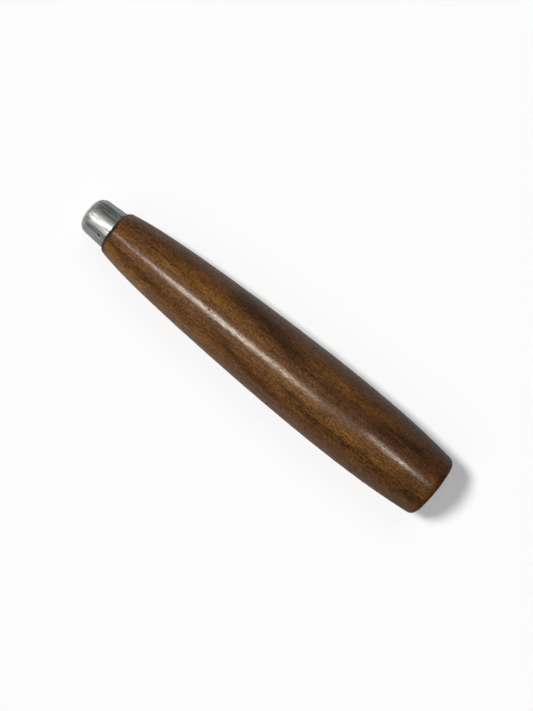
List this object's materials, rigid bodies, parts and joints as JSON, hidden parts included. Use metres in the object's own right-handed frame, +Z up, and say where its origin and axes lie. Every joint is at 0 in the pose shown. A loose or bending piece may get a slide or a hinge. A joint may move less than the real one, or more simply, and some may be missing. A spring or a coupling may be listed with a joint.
{
  "type": "leatherworking tool haft",
  "caption": "Barrel-shaped turned hardwood haft with a tapered metal cup ferrule, bored at the front to take the tang of a blade or awl.",
  "frame": {"origin": "centre of the tang bore's mouth, on the end grain of the tenon just inside the ferrule", "axes": "+X along the haft's axis out of the ferrule's mouth, the way a blade leaves; +Z up as the haft lies; the first stake mark is on the +Y side"},
  "size_m": [0.1326, 0.0244, 0.0244],
  "materials": {
    "oiled_wood": "figured dark hardwood, satin oil or lacquer, fine open pores",
    "plated_metal": "drawn and plated steel, semi-bright, with fine draw lines along the axis"
  },
  "bodies": {
    "root": {"handle": "oiled_wood", "ferrule": "plated_metal"}
  },
  "joints": []
}
